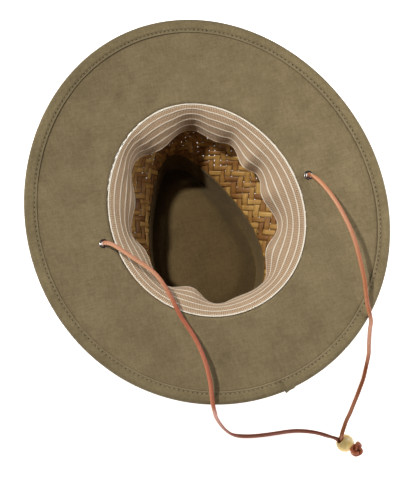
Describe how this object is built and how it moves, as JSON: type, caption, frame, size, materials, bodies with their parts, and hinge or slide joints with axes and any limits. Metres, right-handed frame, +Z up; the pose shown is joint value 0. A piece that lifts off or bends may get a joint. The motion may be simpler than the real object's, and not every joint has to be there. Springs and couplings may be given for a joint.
{
  "type": "sun hat",
  "caption": "Wide-brimmed canvas sun hat with a woven straw crown band, lying upside down on its crown, with a leather chin cord, sliding bead and knot.",
  "frame": {"origin": "on the surface that the upturned crown rests on, under the middle of the brim", "axes": "+Z up, out of the head opening; +Y the hat's front; +X the side that is the wearer's left when it is worn"},
  "size_m": [0.316, 0.4021, 0.1342],
  "materials": {
    "canvas": "washed olive cotton canvas",
    "tape": "folded olive cotton tape",
    "straw": "twill-woven seagrass",
    "sweatband_cotton": "ribbed beige cotton",
    "eyelet_steel": "dark nickel",
    "leather": "tan flat lace",
    "wood": "waxed pale wood"
  },
  "bodies": {
    "root": {"brim": "canvas", "brim_binding": "tape", "straw_band": "straw", "crown_cap": "canvas", "sweatband": "sweatband_cotton", "eyelet_left": "eyelet_steel", "eyelet_right": "eyelet_steel", "chin_cord_crown": "leather", "chin_cord_left": "leather", "chin_cord_right": "leather", "cord_bead": "wood", "cord_knot": "leather"}
  },
  "joints": []
}
